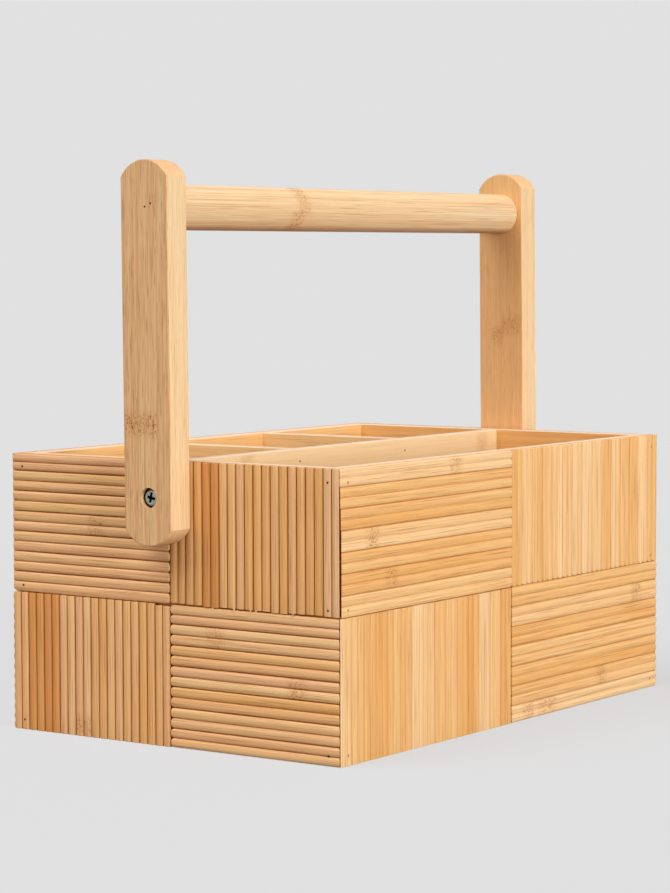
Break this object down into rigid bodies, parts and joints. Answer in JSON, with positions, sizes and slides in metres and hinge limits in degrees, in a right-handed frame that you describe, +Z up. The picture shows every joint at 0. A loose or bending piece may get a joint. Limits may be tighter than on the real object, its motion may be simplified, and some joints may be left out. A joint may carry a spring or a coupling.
{
  "type": "utensil caddy",
  "caption": "Bamboo utensil caddy: an open box with inner dividers, clad in fluted slats laid as a chequer, with a bar handle that swings on a screw at each end.",
  "frame": {"origin": "middle of the underside, on the surface that the caddy stands on", "axes": "+X along the box and the handle bar, to the right seen from the front; +Y to the rear, where the cross dividers are; +Z up. At rest the handle stands up, leaning 0.5 degrees to the rear"},
  "size_m": [0.3394, 0.203, 0.2864],
  "materials": {
    "board_bamboo": "satin",
    "slat_bamboo": "satin",
    "handle_bamboo": "satin",
    "zinc_screw": "satin",
    "steel_washer": "satin",
    "nail_steel": "dull"
  },
  "bodies": {
    "box": {"corner_nails": "nail_steel", "cross_divider_1": "board_bamboo", "cross_divider_2": "board_bamboo", "divider_nails": "nail_steel", "floor_board": "board_bamboo", "front_tile_lower_left": "slat_bamboo", "front_tile_lower_right": "slat_bamboo", "front_tile_upper_left": "slat_bamboo", "front_tile_upper_right": "slat_bamboo", "front_wall": "board_bamboo", "left_end_tile_lower_left": "slat_bamboo", "left_end_tile_lower_right": "slat_bamboo", "left_end_tile_upper_left": "slat_bamboo", "left_end_tile_upper_right": "slat_bamboo", "left_end_wall": "board_bamboo", "left_pivot_screw": "zinc_screw", "left_pivot_washer": "steel_washer", "long_divider": "board_bamboo", "rear_tile_lower_left": "slat_bamboo", "rear_tile_lower_right": "slat_bamboo", "rear_tile_upper_left": "slat_bamboo", "rear_tile_upper_right": "slat_bamboo", "rear_wall": "board_bamboo", "right_end_tile_lower_left": "slat_bamboo", "right_end_tile_lower_right": "slat_bamboo", "right_end_tile_upper_left": "slat_bamboo", "right_end_tile_upper_right": "slat_bamboo", "right_end_wall": "board_bamboo", "right_pivot_screw": "zinc_screw", "right_pivot_washer": "steel_washer", "slat_pins": "nail_steel"},
    "handle": {"left_handle_arm": "handle_bamboo", "right_handle_arm": "handle_bamboo", "handle_bar": "handle_bamboo", "handle_bar_nails": "nail_steel"}
  },
  "joints": [
    {"name": "handle_swing", "type": "hinge", "parent": "box", "child": "handle", "pos_m": [0, 0, 0.1236], "axis": [1, 0, 0], "range_deg": [-125, 125]}
  ]
}
